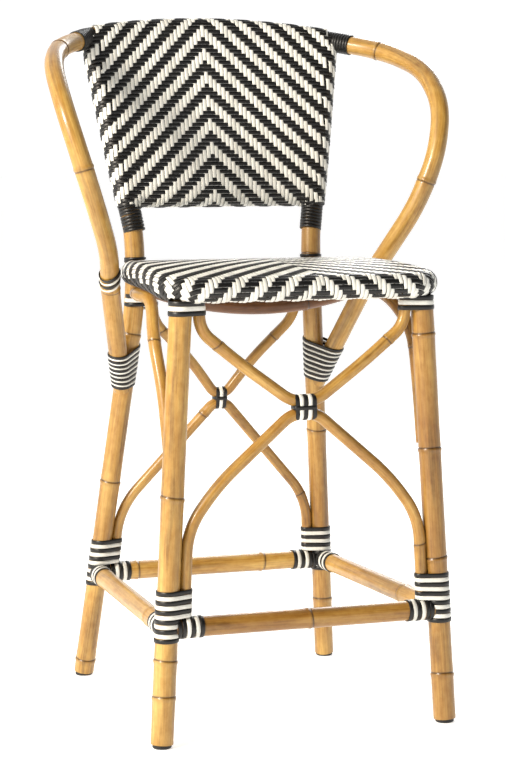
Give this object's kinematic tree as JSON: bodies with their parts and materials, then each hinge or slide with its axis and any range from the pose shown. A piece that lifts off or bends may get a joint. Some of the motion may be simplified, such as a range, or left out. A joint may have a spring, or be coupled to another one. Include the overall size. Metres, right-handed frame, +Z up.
{
  "type": "bar stool with footrest",
  "caption": "Rattan bar stool with looped arms, a woven chevron seat and back, crossed brace rods and a foot rail on all sides.",
  "frame": {"origin": "on the floor, midway between the feet", "axes": "+Z up, the front faces -Y, +X to the right as seen from the front"},
  "size_m": [0.6132, 0.4891, 1.0232],
  "materials": {
    "rattan": "clear gloss lacquer over honey-coloured rattan",
    "woven_seat": "black and white flat resin strands in a chevron twill",
    "woven_back": "black and white flat resin strands in a chevron twill",
    "striped_binding": "black and white flat resin strand, wound in turns",
    "black_binding": "black flat resin strand, wound in turns",
    "glide_plastic": "moulded black plastic",
    "beech_dowel": "bare turned wood",
    "screw_steel": "zinc plated"
  },
  "bodies": {
    "root": {"arm_foot_binding_left": "striped_binding", "arm_foot_binding_right": "striped_binding", "arm_left": "rattan", "arm_right": "rattan", "arm_seat_binding_left": "striped_binding", "arm_seat_binding_right": "striped_binding", "back_lower_rail": "rattan", "back_top_rail": "rattan", "brace_screws": "screw_steel", "foot_rail_dowels": "beech_dowel", "front_brace_lower": "rattan", "front_brace_tie": "striped_binding", "front_brace_upper": "rattan", "front_corner_binding_left": "striped_binding", "front_corner_binding_right": "striped_binding", "front_foot_rail": "rattan", "front_glide_left": "glide_plastic", "front_glide_right": "glide_plastic", "front_leg_left": "rattan", "front_leg_right": "rattan", "front_rail_binding_left": "striped_binding", "front_rail_binding_right": "striped_binding", "front_seat_binding_left": "striped_binding", "front_seat_binding_right": "striped_binding", "panel_post_binding_left": "black_binding", "panel_post_binding_right": "black_binding", "post_seat_binding_left": "black_binding", "post_seat_binding_right": "black_binding", "rear_brace_lower": "rattan", "rear_brace_tie": "striped_binding", "rear_brace_upper": "rattan", "rear_corner_binding_left": "striped_binding", "rear_corner_binding_right": "striped_binding", "rear_foot_rail": "rattan", "rear_glide_left": "glide_plastic", "rear_glide_right": "glide_plastic", "rear_leg_left": "rattan", "rear_leg_right": "rattan", "rear_rail_binding_left": "striped_binding", "rear_rail_binding_right": "striped_binding", "rear_seat_binding_left": "striped_binding", "rear_seat_binding_right": "striped_binding", "seat_cross_bow": "rattan", "seat_frame_screws": "screw_steel", "seat_hoop": "rattan", "seat_rear_rail": "rattan", "side_brace_left": "rattan", "side_brace_right": "rattan", "side_foot_rail_left": "rattan", "side_foot_rail_right": "rattan", "side_rail_front_binding_left": "striped_binding", "side_rail_front_binding_right": "striped_binding", "side_rail_rear_binding_left": "striped_binding", "side_rail_rear_binding_right": "striped_binding", "top_corner_binding_left": "black_binding", "top_corner_binding_right": "black_binding", "woven_back": "woven_back", "woven_seat": "woven_seat"}
  },
  "joints": []
}
